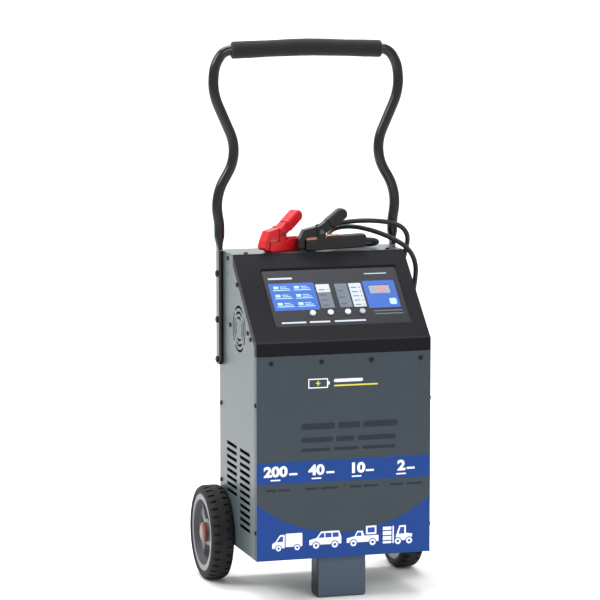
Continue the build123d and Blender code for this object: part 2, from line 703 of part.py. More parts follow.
def lead_gland(x, z):
    """Right-angle strain relief: a flange on the rear panel and a snout towards +X."""
    centre = CASE_D + GLAND_OUT
    flange = rod(at(x, CASE_D + 0.1, z), (0, 1, 0), 14, 3)
    elbow = rod(at(x, REAR - 12, z), (0, 1, 0), GLAND_NECK_R, 12 + SHEET + GLAND_OUT + 8.5)
    elbow = fillet(elbow.edges().sort_by(Axis.Y)[-1], 3)
    straight = GLAND_REACH - 10
    snout = rod(at(x, centre, z), (1, 0, 0), 7.6, straight)
    tip = Plane(origin=at(x + straight, centre, z), z_dir=(1, 0, 0)) * Cone(
        7.6, LEAD_R + 1.5, 10, align=(Align.CENTER, Align.CENTER, Align.MIN))
    return elbow + flange + (snout + tip)


def cable_hook(side):
    x0 = HOOK_X - HOOK_W / 2
    x1 = HOOK_X + HOOK_W / 2
    hook = block(x0, x1, CASE_D + 0.1, CASE_D + HOOK_T, HOOK_Z - 30, HOOK_Z + HOOK_T)
    hook += block(x0, x1, CASE_D + 0.1, HOOK_REACH + HOOK_T, HOOK_Z, HOOK_Z + HOOK_T)
    lip = block(x0, x1, HOOK_REACH, HOOK_REACH + HOOK_T, HOOK_Z, HOOK_LIP)
    corners = lip.edges().filter_by(Axis.Y).group_by(Axis.Z)[-1]
    hook += fillet(corners, 6)
    return hook if side > 0 else mirrored(hook)


# ---- output clamps, drawn nose at the origin, handles towards +X, lying on Z = 0 ----
CLAMP_W = 24.0
CLAMP_L = 122.0
PIVOT = (38.0, 33.0)
PIN_R = 2.5
JAW_Z = 20.0
HANDLE_RISE = 36.0         # degrees between the two handles
RED_CLAMP = (-100.0, 163.0, 600.2, 28.0, 0.0)
BLACK_CLAMP = (-30.0, 168.0, 600.6, 0.0, 2.4)


def clamp_place(x, depth, z, heading, tilt):
    return Pos(*at(x, depth, z)) * Rot(0, 0, heading) * Rot(0, -tilt, 0)


def slab(points, half_width, radius=None):
    """A bar of the given XZ outline, centred on Y."""
    face = Plane.XZ.offset(-half_width) * make_face(Polyline(*points, close=True))
    bar = extrude(face, amount=2 * half_width, dir=(0, -1, 0))
    if radius:
        bar = fillet(bar.edges().filter_by(lambda edge: abs(abs(edge.center().Y) - half_width) < 0.01), radius)
    return bar


def clamp_lower_arm():
    arm = slab([(7, 4), (12, 0), (CLAMP_L - 3, 0), (CLAMP_L, 4), (CLAMP_L, 20), (CLAMP_L - 3, 24), (52, 24),
                (48, JAW_Z), (8, JAW_Z)], CLAMP_W / 2, 3)
    for side in (-1, 1):
        inner = side * (CLAMP_W / 2 - 2.4)
        outer = side * CLAMP_W / 2
        ear = Pos(PIVOT[0], (inner + outer) / 2, PIVOT[1] - 6) * Box(15, 2.4, 26)
        arm += ear
        arm += Plane(origin=(PIVOT[0], inner, PIVOT[1] + 5), z_dir=(0, side, 0)) * Cylinder(
            7.5, 2.4, align=(Align.CENTER, Align.CENTER, Align.MIN))
    pin_hole = Plane(origin=(PIVOT[0], -20, PIVOT[1]), z_dir=(0, 1, 0)) * Cylinder(
        PIN_R + 0.05, 40, align=(Align.CENTER, Align.CENTER, Align.MIN))
    cord = Plane(origin=(CLAMP_L + 1, 0, 12.5), z_dir=(-1, 0, 0)) * Cylinder(
        LEAD_R + 0.01, 13, align=(Align.CENTER, Align.CENTER, Align.MIN))
    return arm - pin_hole - cord


def clamp_upper_arm():
    half = CLAMP_W / 2 - 2.8
    rise = radians(HANDLE_RISE)
    thick = 9.5
    end = 58.0
    px, pz = PIVOT

    def along(distance, side):
        return (px + distance * cos(rise) - side * thick * sin(rise),
                pz + distance * sin(rise) + side * thick * cos(rise))

    low = JAW_Z + 4.4
    arm = slab([(10, low), (px - 6, low), (px, pz - 7.5), along(10, -0.8), along(end - 4, -1), along(end, -0.6),
                along(end, 0.6), along(end - 4, 1), along(2, 1), (px - 8, pz + 10), (6, low + 14),
                (-3, 22), (-7, 10), (-1, 5), (5, 7), (6.2, 21.5)], half)
    grip_half = CLAMP_W / 2
    tip = 10.7
    shank = make_face(Polyline((20, -tip), (end - tip + 2, -tip), (end - tip + 2, tip), (20, tip), close=True))
    outline = shank + Pos(end - tip + 2, 0) * Circle(tip)
    grip = extrude(Plane.XZ.offset(-grip_half) * outline, amount=2 * grip_half, dir=(0, -1, 0))
    sides = grip.edges().filter_by(lambda edge: abs(abs(edge.center().Y) - grip_half) < 0.01)
    grip = Pos(px, 0, pz) * Rot(0, -HANDLE_RISE, 0) * fillet(sides, 5.5)
    arm += grip
    pin_hole = Plane(origin=(px, -20, pz), z_dir=(0, 1, 0)) * Cylinder(
        PIN_R + 0.1, 40, align=(Align.CENTER, Align.CENTER, Align.MIN))
    well = Plane(origin=(px, -6, pz), z_dir=(0, 1, 0)) * Cylinder(
        8.6, 12, align=(Align.CENTER, Align.CENTER, Align.MIN))
    return arm - pin_hole - well


def clamp_lower_jaw():
    """Toothed copper strip on the lower arm, bent up over the handle to its crimp."""
    jaw = Pos(28, 0, JAW_Z + 1.1) * Box(37, 15, 2)
    jaw += Pos(46.4, 0, JAW_Z + 2.9) * Box(2.2, 15, 5.6)
    jaw += Pos(60, 0, JAW_Z + 4.9) * Box(29.4, 15, 1.6)
    for tooth in range(6):
        jaw += Pos(11.5 + tooth * 4, 0, JAW_Z + 2.3) * Box(1.8, 15, 0.8)
    return jaw


def clamp_upper_jaw():
    jaw = Pos(22, 0, JAW_Z + 3.7) * Box(20, 15, 1.2)
    return jaw


def clamp_pin():
    pin = Plane(origin=(PIVOT[0], -13.4, PIVOT[1]), z_dir=(0, 1, 0)) * Cylinder(
        PIN_R, 26.8, align=(Align.CENTER, Align.CENTER, Align.MIN))
    for side in (-1, 1):
        pin += Pos(PIVOT[0], side * 12.8, PIVOT[1]) * Rot(90, 0, 0) * Cylinder(4.2, 1.4)
    return pin


def clamp_spring():
    """Torsion spring round the pin, its lower leg lying back on the copper strip."""
    pitch = 2.1
    turns = 4
    wire = 0.85
    radius = 6.2
    path = Helix(pitch=pitch, height=pitch * turns, radius=radius)
    coil = sweep(Plane(origin=path @ 0, z_dir=path % 0) * Circle(wire), path=path, is_frenet=True)
    return Pos(PIVOT[0], pitch * turns / 2, PIVOT[1]) * Rot(90, 0, 0) * coil


# ---- output leads ----
COIL_X = HOOK_X
COIL_Z = HOOK_Z + HOOK_T + GAP - sqrt((COIL_R - LEAD_R) ** 2 - (HOOK_W / 2) ** 2)
RED_COIL = (300.8, 300.8 - RED_TURNS * LEAD_D)
BLACK_COIL = (250.2, 250.2 + BLACK_TURNS * LEAD_D)
RED_RUN = ((24, 229.5, 618.5), (33, 232.5, 629), (46, 233, 638), (66, 231, 643.5), (92, 226, 646.5),
           (120, 220, 647), (143, 213, 645), (161, 207.5, 642), (175, 203, 634.5), (183.5, 202, 622.5),
           (186.5, 207, 608), (186, 219, 590), (186, 235, 563), (188, 250, 527), (191.5, 265, 485),
           (194, 281, 440), (193, 293, 400))
BLACK_RUN = ((105.8, 168, 617), (116.9, 176, 613.6), (121.1, 189, 609.5), (116.9, 202, 606),
             (105.8, 209.6, 604.8), (57.3, 209.6, 605.6), (46.6, 217, 610.5), (42.4, 229.5, 617.5),
             (46.6, 242.2, 625), (57.3, 250, 630.5), (76, 249, 634.5), (97, 239, 634.5),
             (118, 223, 630), (138, 206, 623), (156, 191, 614), (172, 177.5, 603), (183, 167, 587),
             (188, 163, 565), (188, 169, 541), (188, 183, 511), (190, 201, 475), (191.5, 222, 435),
             (191, 240, 397))
RED_TAIL = ((104, 281, 302), (68, 281, 301), (36, 271, 311), (10, 260, 324))
BLACK_TAIL = ((112, 270, 302), (88, 265, 297), (66, 258, 292))
RED_TAKEOFF = 124.0        # how far from the clamp's nose the lead starts to bend
BLACK_TAKEOFF = 121.5


def clamp_axis(clamp, reach):
    """A point on the bore that the lead is crimped into, measured from the clamp's nose."""
    return (clamp_place(*clamp) * Pos(reach, 0, 12.5)).position


def coil_start(depth):
    return Vector(*at(COIL_X + COIL_R, depth, COIL_Z))


def coil_end(depth):
    return Vector(*at(COIL_X, depth, COIL_Z - COIL_R))


def lead_path(name, points):
    """Straight runs joined by the largest arcs that they leave room for."""
    points = [Vector(*point) for point in points]
    runs = [after - before for before, after in zip(points, points[1:])]
    radii = []
    for first, second in zip(runs, runs[1:]):
        turn = radians(first.get_angle(second))
        radii.append(0.45 * min(first.length, second.length) / tan(turn / 2))
    path = FilletPolyline(*points, radius=radii)
    print(name, "length", round(path.length), "radii", [round(radius) for radius in radii],
          "runs", [round(run.length) for run in runs])
    return path


def lead_tube(name, points):
    path = lead_path(name, points)
    tube = sweep(Plane(origin=path @ 0, z_dir=path % 0) * Circle(LEAD_R), path=path)
    section = pi * LEAD_R ** 2 * path.length
    print("   volume against section x length:", round(tube.volume / section, 4))
    return tube


def lead_coil(span):
    near = min(span) - LEAD_R
    far = max(span) + LEAD_R
    centre = at(COIL_X, near, COIL_Z)
    ring = rod(centre, (0, 1, 0), COIL_R + LEAD_R, far - near)
    ring -= rod(centre, (0, 1, 0), COIL_R - LEAD_R, far - near)
    return fillet(ring.edges(), 3)


def red_lead_run():
    points = [clamp_axis(RED_CLAMP, CLAMP_L - 12), clamp_axis(RED_CLAMP, RED_TAKEOFF)]
    points += [at(*point) for point in RED_RUN] + [coil_start(RED_COIL[0])]
    return lead_tube("red run", points)


def black_lead_run():
    points = [clamp_axis(BLACK_CLAMP, CLAMP_L - 12), clamp_axis(BLACK_CLAMP, BLACK_TAKEOFF)]
    points += [at(*point) for point in BLACK_RUN] + [coil_start(BLACK_COIL[0])]
    return lead_tube("black run", points)


def gland_mouth(gland):
    x, z = gland
    return at(x + GLAND_REACH, CASE_D + GLAND_OUT, z)


def red_lead_tail():
    points = [coil_end(RED_COIL[1])] + [at(*point) for point in RED_TAIL] + [gland_mouth(RED_GLAND)]
    return lead_tube("red tail", points)


def black_lead_tail():
    points = [coil_end(BLACK_COIL[1])] + [at(*point) for point in BLACK_TAIL] + [gland_mouth(BLACK_GLAND)]
    return lead_tube("black tail", points)


# ---- write every piece ----
os.makedirs("parts", exist_ok=True)

write("base_pan", base_pan() - foot_bolt_holes())
write("front_panel", front_panel())
write("left_side_panel", left_side_panel())
write("right_side_panel", right_side_panel())
write("rear_panel", rear_panel())
write("top_panel", top_panel())
write("control_bezel", control_bezel())
write("control_overlay", control_overlay())
write("display_window", display_window())
write("display_module", display_module())
write("control_board", control_board())
write("button_switches", *[button_switch(x) for x in BUTTON_X])
for button_name, button_x in zip(BUTTON_NAMES, BUTTON_X):
    write(f"{button_name}_button", push_button(button_x))
write("case_screws", *[case_screw(place, direction) for place, direction in screw_places()])

write("front_foot", front_foot())
write("foot_bolts", *[foot_bolt(x, depth) for x, depth in foot_bolt_places()])
write("axle", axle())
write("axle_fasteners", *axle_fasteners())
for wheel_name, wheel_side in (("left", -1), ("right", 1)):
    write(f"{wheel_name}_tyre", place_wheel(tyre(), wheel_side))
    write(f"{wheel_name}_hub", place_wheel(hub(), wheel_side))
    write(f"{wheel_name}_hub_cap", place_wheel(hub_cap(), wheel_side))

write("handle_tube", handle_tube())
write("handle_grip", handle_grip())
write("handle_bolts", *[handle_bolt(side, z) for side in (-1, 1) for z in BOLT_Z])

write("fan_frame", fan_frame())
write("fan_rotor", fan_rotor())
write("transformer_core", transformer_core())
write("transformer_winding", transformer_winding())
write("transformer_bracket", transformer_bracket())
write("rectifier_heatsink", rectifier_heatsink())
write("rectifier_diodes", *[rectifier_diode(x) for x in DIODE_X])
write("smoothing_capacitor", smoothing_capacitor())
write("circuit_breaker", circuit_breaker())
write("breaker_button", breaker_button())
write("mains_inlet", mains_inlet())
write("cable_hooks", cable_hook(-1), cable_hook(1))
write("red_lead_gland", lead_gland(*RED_GLAND))
write("black_lead_gland", lead_gland(*BLACK_GLAND))

for clamp_name, clamp_at in (("red", RED_CLAMP), ("black", BLACK_CLAMP)):
    spot = clamp_place(*clamp_at)
    write(f"{clamp_name}_clamp_lower_arm", spot * clamp_lower_arm())
    write(f"{clamp_name}_clamp_upper_arm", spot * clamp_upper_arm())
    write(f"{clamp_name}_clamp_lower_jaw", spot * clamp_lower_jaw())
    write(f"{clamp_name}_clamp_upper_jaw", spot * clamp_upper_jaw())
    write(f"{clamp_name}_clamp_pivot", spot * clamp_pin(), spot * clamp_spring())

write("red_lead_run", red_lead_run())
write("red_lead_coil", lead_coil(RED_COIL))
write("red_lead_tail", red_lead_tail())
write("black_lead_run", black_lead_run())
write("black_lead_coil", lead_coil(BLACK_COIL))
write("black_lead_tail", black_lead_tail())
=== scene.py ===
from math import cos, pi, radians, sin, sqrt

import bmesh
import bpy
from mathutils import Matrix, Vector


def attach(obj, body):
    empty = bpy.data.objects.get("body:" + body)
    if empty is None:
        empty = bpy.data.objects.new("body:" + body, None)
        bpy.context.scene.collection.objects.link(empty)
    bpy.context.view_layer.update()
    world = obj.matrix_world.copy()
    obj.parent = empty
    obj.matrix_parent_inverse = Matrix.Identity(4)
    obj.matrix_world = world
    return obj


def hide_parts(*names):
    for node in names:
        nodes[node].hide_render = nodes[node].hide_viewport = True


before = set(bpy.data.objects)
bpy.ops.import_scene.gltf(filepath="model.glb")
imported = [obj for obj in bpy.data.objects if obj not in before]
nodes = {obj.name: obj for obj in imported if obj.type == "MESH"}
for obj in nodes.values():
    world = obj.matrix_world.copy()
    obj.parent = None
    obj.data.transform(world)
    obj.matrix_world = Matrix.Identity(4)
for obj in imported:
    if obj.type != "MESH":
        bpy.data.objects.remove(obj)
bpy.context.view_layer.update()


# The room: a white sweep of floor and wall. Soft lamps light it from the left, the front
# and above, and one more lights the backdrop. A long lens looks slightly down at the
# charger from its left front.
CAMERA_PLACE = (-1.51964, -4.96392, 1.17362)
CAMERA_DIP = 0.12657
CAMERA_TURN = 0.290565
camera_data = bpy.data.cameras.new("camera")
camera_data.lens = 174.683
camera_data.sensor_width = 36.0
camera_data.clip_end = 40.0
camera = bpy.data.objects.new("camera", camera_data)
camera.location = CAMERA_PLACE
camera.rotation_euler = (pi / 2 - CAMERA_DIP, 0.0, -CAMERA_TURN)
bpy.context.collection.objects.link(camera)
bpy.context.scene.camera = camera
bpy.context.scene.view_settings.view_transform = "Standard"


def shade(red, green, blue):
    """A colour read off a 0 to 255 chart, as the shader wants it."""
    def straight(value):
        value /= 255.0
        return value / 12.92 if value <= 0.04045 else ((value + 0.055) / 1.055) ** 2.4
    return (straight(red), straight(green), straight(blue), 1.0)


def new_mesh(name, points, faces):
    mesh = bpy.data.meshes.new(name)
    mesh.from_pydata(points, [], faces)
    mesh.update()
    piece = bpy.data.objects.new(name, mesh)
    bpy.context.collection.objects.link(piece)
    return piece


SWEEP_HALF_WIDTH = 9.0
FLOOR_FRONT = -9.0
BEND_START = 4.0
BEND_R = 2.0
BEND_STEPS = 12
WALL_TOP = 9.0


def studio_sweep():
    profile = [(FLOOR_FRONT, 0.0), (BEND_START, 0.0)]
    for step in range(1, BEND_STEPS + 1):
        angle = step * pi / (2 * BEND_STEPS)
        profile.append((BEND_START + BEND_R * sin(angle), BEND_R - BEND_R * cos(angle)))
    profile.append((BEND_START + BEND_R, WALL_TOP))
    points = [(x, y, z) for y, z in profile for x in (-SWEEP_HALF_WIDTH, SWEEP_HALF_WIDTH)]
    faces = [(2 * i, 2 * i + 1, 2 * i + 3, 2 * i + 2) for i in range(len(profile) - 1)]
    sweep = new_mesh("studio_floor", points, faces)
    white = bpy.data.materials.new("studio_white")
    white.use_nodes = True
    shader = white.node_tree.nodes["Principled BSDF"]
    shader.inputs["Base Color"].default_value = (0.93, 0.93, 0.93, 1.0)
    shader.inputs["Roughness"].default_value = 0.9
    sweep.data.materials.append(white)
    for face in sweep.data.polygons:
        face.use_smooth = True


def lamp(name, place, target, size, power):
    data = bpy.data.lights.new(name, "AREA")
    data.shape = "RECTANGLE"
    data.size, data.size_y = size
    data.energy = power
    lamp_object = bpy.data.objects.new(name, data)
    lamp_object.location = place
    lamp_object.rotation_euler = (Vector(target) - Vector(place)).to_track_quat("-Z", "Y").to_euler()
    bpy.context.collection.objects.link(lamp_object)


studio_sweep()
lamp("left_softbox", (-2.0, -0.1, 2.2), (-0.1, 0.0, 0.5), (1.3, 1.1), 34)
lamp("front_softbox", (0.8, -4.2, 2.9), (0.0, 0.0, 0.5), (2.4, 1.6), 70)
lamp("top_softbox", (0.0, 0.8, 3.4), (0.0, 0.0, 0.5), (2.6, 2.2), 64)
lamp("backdrop_lamp", (0.0, 1.6, 5.2), (0.0, 6.0, 1.4), (5.0, 1.2), 260)
room = bpy.data.worlds.new("room")
room.use_nodes = True
daylight = room.node_tree.nodes["Background"]
daylight.inputs["Color"].default_value = (1.0, 1.0, 1.0, 1.0)
daylight.inputs["Strength"].default_value = 0.75
bpy.context.scene.world = room


# The two output leads: fine-stranded copper in a black rubber jacket, limp, 9 mm across.
# Each leaves a right-angle gland on the rear panel, hangs in a neat coil on the right
# cable hook, then goes round the case's right rear edge and over the top to its clamp.
LEAD_D = 9.0
COIL_X = 136.0
COIL_R = 54.0
COIL_Z = 359.4
COIL_TURNS = 2.25
POINTS_A_TURN = 14
FRONT_Y = -153.35          # the front panel's face
BORE_UP = 12.5             # the clamp's bore, above its underside
BORE_END = 110             # where the lead stops in the bore, from the clamp's nose


def spot(x, depth, z):
    """A place given in millimetres across, back from the front panel, and up."""
    return Vector((x, FRONT_Y + depth, z)) / 1000


NOISE_LOW = 0.3            # most of the noise lies between these two
NOISE_HIGH = 0.7
STILL_COATED = 0.97        # how far the rounded and flat surfaces agree, off an edge and on it
WORN_THROUGH = 0.80
GRAIN_DEPTH = 0.0004
CLEAR_COAT_ROUGHNESS = 0.12


def lay_over(tree, paint, colour, amount):
    """Lays a colour over the paint, fully where the amount is one."""
    layer = tree.nodes.new("ShaderNodeMix")
    layer.data_type = "RGBA"
    layer.inputs["B"].default_value = colour
    tree.links.new(amount, layer.inputs["Factor"])
    tree.links.new(paint, layer.inputs["A"])
    return layer.outputs["Result"]


def finish(name, colour, spread=0.1, roughness=0.5, roughness_spread=0.1, metal=0.0, grain=400.0,
           bump=0.1, blotch=12.0, worn=None, wear=0.35, edge=0.0008, coat=0.0, sheen=0.0, shine=0.5):
    """A finish with slow colour drift, fine grain in gloss and surface, and rubbed edges."""
    material = bpy.data.materials.new(name)
    material.use_nodes = True
    tree = material.node_tree
    shader = tree.nodes["Principled BSDF"]
    shader.inputs["Metallic"].default_value = metal
    shader.inputs["Coat Weight"].default_value = coat
    shader.inputs["Coat Roughness"].default_value = CLEAR_COAT_ROUGHNESS
    shader.inputs["Sheen Weight"].default_value = sheen
    shader.inputs["Specular IOR Level"].default_value = shine
    place = tree.nodes.new("ShaderNodeTexCoord")

    def noise(scale, detail):
        node = tree.nodes.new("ShaderNodeTexNoise")
        node.inputs["Scale"].default_value = scale
        node.inputs["Detail"].default_value = detail
        tree.links.new(place.outputs["Object"], node.inputs["Vector"])
        return node.outputs["Fac"]

    def stretch(value, low, high):
        node = tree.nodes.new("ShaderNodeMapRange")
        node.inputs["From Min"].default_value = NOISE_LOW
        node.inputs["From Max"].default_value = NOISE_HIGH
        node.inputs["To Min"].default_value = low
        node.inputs["To Max"].default_value = high
        tree.links.new(value, node.inputs["Value"])
        return node.outputs["Result"]

    slow = noise(blotch, 4)
    fine = noise(grain, 3)
    drift = tree.nodes.new("ShaderNodeMix")
    drift.data_type = "RGBA"
    drift.inputs["A"].default_value = [part * (1 - spread) for part in colour[:3]] + [1.0]
    drift.inputs["B"].default_value = [part * (1 + spread) for part in colour[:3]] + [1.0]
    tree.links.new(slow, drift.inputs["Factor"])
    tint = drift.outputs["Result"]
    rounded = tree.nodes.new("ShaderNodeBevel")
    rounded.samples = 4
    rounded.inputs["Radius"].default_value = edge
    if worn:
        flat = tree.nodes.new("ShaderNodeNewGeometry")
        facing = tree.nodes.new("ShaderNodeVectorMath")
        facing.operation = "DOT_PRODUCT"
        tree.links.new(rounded.outputs["Normal"], facing.inputs[0])
        tree.links.new(flat.outputs["Normal"], facing.inputs[1])
        rubbed = tree.nodes.new("ShaderNodeMapRange")
        rubbed.inputs["From Min"].default_value = STILL_COATED
        rubbed.inputs["From Max"].default_value = WORN_THROUGH
        rubbed.inputs["To Max"].default_value = wear
        tree.links.new(facing.outputs["Value"], rubbed.inputs["Value"])
        patchy = tree.nodes.new("ShaderNodeMath")
        patchy.operation = "MULTIPLY"
        tree.links.new(rubbed.outputs["Result"], patchy.inputs[0])
        tree.links.new(stretch(noise(60, 5), 0.1, 1.0), patchy.inputs[1])
        tint = lay_over(tree, tint, worn, patchy.outputs["Value"])
    tree.links.new(tint, shader.inputs["Base Color"])
    tree.links.new(stretch(fine, roughness - roughness_spread / 2, roughness + roughness_spread / 2),
                   shader.inputs["Roughness"])
    relief = tree.nodes.new("ShaderNodeBump")
    relief.inputs["Strength"].default_value = bump
    relief.inputs["Distance"].default_value = GRAIN_DEPTH
    tree.links.new(fine, relief.inputs["Height"])
    tree.links.new(rounded.outputs["Normal"], relief.inputs["Normal"])
    tree.links.new(relief.outputs["Normal"], shader.inputs["Normal"])
    return material


def dress(material, *names):
    """Puts a finish on carried-over solids."""
    for name in names:
        nodes[name].data.materials.clear()
        nodes[name].data.materials.append(material)


def clamp_bore(place, heading, tilt, reach):
    """A point on the bore that a lead is crimped into, measured from the clamp's nose."""
    turned = Matrix.Rotation(radians(heading), 3, "Z") @ Matrix.Rotation(radians(-tilt), 3, "Y")
    return spot(*place) + turned @ Vector((reach, 0.0, BORE_UP)) / 1000


def coil_turns(near_exit, near_clamp):
    """The coil's own points, from its foot round and up to where the lead goes off."""
    count = int(COIL_TURNS * POINTS_A_TURN)
    reach = COIL_R * 2 / (1 + cos(pi / POINTS_A_TURN))
    for step in range(1, count):
        share = step / count
        angle = -pi / 2 + 2 * pi * COIL_TURNS * share
        depth = near_exit + (near_clamp - near_exit) * share
        yield spot(COIL_X + reach * cos(angle), depth, COIL_Z + reach * sin(angle))


def lead(colour, points):
    name = f"{colour}_lead"
    curve = bpy.data.curves.new(name, "CURVE")
    curve.dimensions = "3D"
    curve.bevel_depth = LEAD_D / 2000
    curve.bevel_resolution = 6
    curve.use_fill_caps = True
    curve.resolution_u = 10
    line = curve.splines.new("NURBS")
    line.points.add(len(points) - 1)
    for point, place in zip(line.points, points):
        point.co = (*place, 1.0)
    line.order_u = 3
    line.use_endpoint_u = True
    piece = bpy.data.objects.new(name, curve)
    bpy.context.collection.objects.link(piece)
    curve.materials.append(jacket)
    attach(piece, "case")
    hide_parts(f"{name}_run", f"{name}_coil", f"{name}_tail")


jacket = finish("lead_rubber", shade(22, 23, 26), spread=0.15, roughness=0.42, grain=1500, bump=0.12,
                sheen=0.05, shine=0.35)

RED_CLAMP = ((-100, 163, 600.2), 28.0, 0.0)     # the nose's place, its heading and its tilt
RED_COIL = (280.55, 300.8)                      # the coil's depth at the gland's end and at the clamp's
red_over = [(24, 229.5, 618.5), (33, 232.5, 629), (46, 233, 638), (66, 231, 643.5), (92, 226, 646.5),
            (120, 220, 647), (143, 213, 645), (161, 207.5, 642), (175, 203, 634.5), (183.5, 202, 622.5),
            (186.5, 207, 608), (186, 219, 590), (186, 235, 563), (188, 250, 527), (191.5, 265, 485),
            (194, 281, 440), (193, 293, 400)]
red_from_gland = [(-6, 256, 330), (10, 260, 324), (36, 271, 311), (68, 281, 301), (104, 281, 302)]
red_line = [spot(*point) for point in red_from_gland] + [spot(COIL_X, RED_COIL[0], COIL_Z - COIL_R)]
red_line += list(coil_turns(*RED_COIL)) + [spot(COIL_X + COIL_R, RED_COIL[1], COIL_Z)]
red_line += [spot(*point) for point in reversed(red_over)]
red_line += [clamp_bore(*RED_CLAMP, 124), clamp_bore(*RED_CLAMP, BORE_END)]
lead("red", red_line)

BLACK_CLAMP = ((-30, 168, 600.6), 0.0, 2.4)
BLACK_COIL = (270.45, 250.2)
black_over = [(105.8, 168, 617), (116.9, 176, 613.6), (121.1, 189, 609.5), (116.9, 202, 606),
              (105.8, 209.6, 604.8), (57.3, 209.6, 605.6), (46.6, 217, 610.5), (42.4, 229.5, 617.5),
              (46.6, 242.2, 625), (57.3, 250, 630.5), (76, 249, 634.5), (97, 239, 634.5), (118, 223, 630),
              (138, 206, 623), (156, 191, 614), (172, 177.5, 603), (183, 167, 587), (188, 163, 565),
              (188, 169, 541), (188, 183, 511), (190, 201, 475), (191.5, 222, 435), (191, 240, 397)]
black_from_gland = [(46, 256, 290), (66, 258, 292), (88, 265, 297), (112, 270, 302)]
black_line = [spot(*point) for point in black_from_gland] + [spot(COIL_X, BLACK_COIL[0], COIL_Z - COIL_R)]
black_line += list(coil_turns(*BLACK_COIL)) + [spot(COIL_X + COIL_R, BLACK_COIL[1], COIL_Z)]
black_line += [spot(*point) for point in reversed(black_over)]
black_line += [clamp_bore(*BLACK_CLAMP, 121.5), clamp_bore(*BLACK_CLAMP, BORE_END)]
lead("black", black_line)
dress(jacket, "red_lead_gland", "black_lead_gland")


# The clamps: pressed steel arms dipped in soft vinyl, one red and one black, with
# copper-plated jaws riveted in their noses. The upper arm swings on a steel pin.
red_vinyl = finish("red_vinyl", shade(190, 18, 28), spread=0.12, roughness=0.36, grain=700, bump=0.1,
                   worn=shade(222, 78, 82), wear=0.35, shine=0.35)
black_vinyl = finish("black_vinyl", shade(8, 8, 11), spread=0.2, roughness=0.38, grain=700, bump=0.1,
                     worn=shade(74, 74, 78), wear=0.35, shine=0.35)
copper = finish("jaw_copper", shade(214, 146, 112), spread=0.2, roughness=0.3, metal=0.95, grain=900,
                bump=0.12, blotch=90, worn=shade(240, 190, 160), wear=0.6)
spring_steel = finish("spring_steel", shade(84, 85, 88), spread=0.15, roughness=0.42, metal=0.9, grain=1200,
                      bump=0.08, blotch=60, worn=shade(130, 131, 134), wear=0.4)
dress(red_vinyl, "red_clamp_lower_arm", "red_clamp_upper_arm")
dress(black_vinyl, "black_clamp_lower_arm", "black_clamp_upper_arm")
dress(copper, "red_clamp_lower_jaw", "red_clamp_upper_jaw", "black_clamp_lower_jaw", "black_clamp_upper_jaw")
dress(spring_steel, "red_clamp_pivot", "black_clamp_pivot")


# The axle, its fasteners, the foot's bolts and the transformer's bracket: plain steel,
# zinc plated against rust.
zinc = finish("zinc_plate", shade(178, 180, 184), spread=0.12, roughness=0.32, metal=0.95, grain=1200,
              bump=0.08, blotch=60, worn=shade(225, 226, 228), wear=0.5)
dress(zinc, "axle", "axle_fasteners", "foot_bolts", "transformer_bracket")


# The case: 1.5 mm steel sheet, folded, screwed together and powder coated slate grey.
# The coat has a fine orange peel and has rubbed lighter along the folded edges.
rubbed_slate = shade(150, 160, 168)
slate = finish("slate_powder_coat", shade(70, 80, 83), spread=0.06, roughness=0.34, roughness_spread=0.08,
               grain=650, bump=0.06, worn=rubbed_slate, wear=0.4, edge=0.001, shine=0.35)
foot_slate = finish("foot_powder_coat", shade(66, 80, 94), spread=0.07, roughness=0.42, grain=650, bump=0.07,
                    worn=rubbed_slate, wear=0.4, edge=0.001, shine=0.3)
dress(slate, "base_pan", "left_side_panel", "right_side_panel", "rear_panel", "top_panel", "cable_hooks")
dress(foot_slate, "front_foot")


def paint_side_shade(material):
    """Paints shade on the faces that look along the width: a near-black laid over the paint there."""
    tree = material.node_tree
    shader = tree.nodes["Principled BSDF"]
    paint = shader.inputs["Base Color"].links[0].from_socket
    flat = tree.nodes.new("ShaderNodeNewGeometry")
    axes = tree.nodes.new("ShaderNodeSeparateXYZ")
    size = tree.nodes.new("ShaderNodeMath")
    size.operation = "ABSOLUTE"
    sideways = tree.nodes.new("ShaderNodeMapRange")
    sideways.inputs["From Min"].default_value = 0.55
    sideways.inputs["From Max"].default_value = 0.85
    tree.links.new(flat.outputs["Normal"], axes.inputs["Vector"])
    tree.links.new(axes.outputs["X"], size.inputs[0])
    tree.links.new(size.outputs["Value"], sideways.inputs["Value"])
    # The near-black here is painted shade, standing in for the shadow on the foot's sides.
    painted_side_shade = lay_over(tree, paint, shade(18, 19, 22), sideways.outputs["Result"])
    tree.links.new(painted_side_shade, shader.inputs["Base Color"])


# The foot's sides get painted shade: they are darkened to stand in for their shadow.
paint_side_shade(foot_slate)


# The front panel: the same coated sheet, screen printed with a royal blue band for the
# ratings and a blue field whose upper edge is a wide arc, the print only on its face.
BAND_LOW = 0.211
BAND_HIGH = 0.250
FIELD_TOP = 0.2
ARC_CENTRE_Z = 0.3725
ARC_R = 0.253
PRINT_REACH = 0.0006       # how far behind the face the print stops


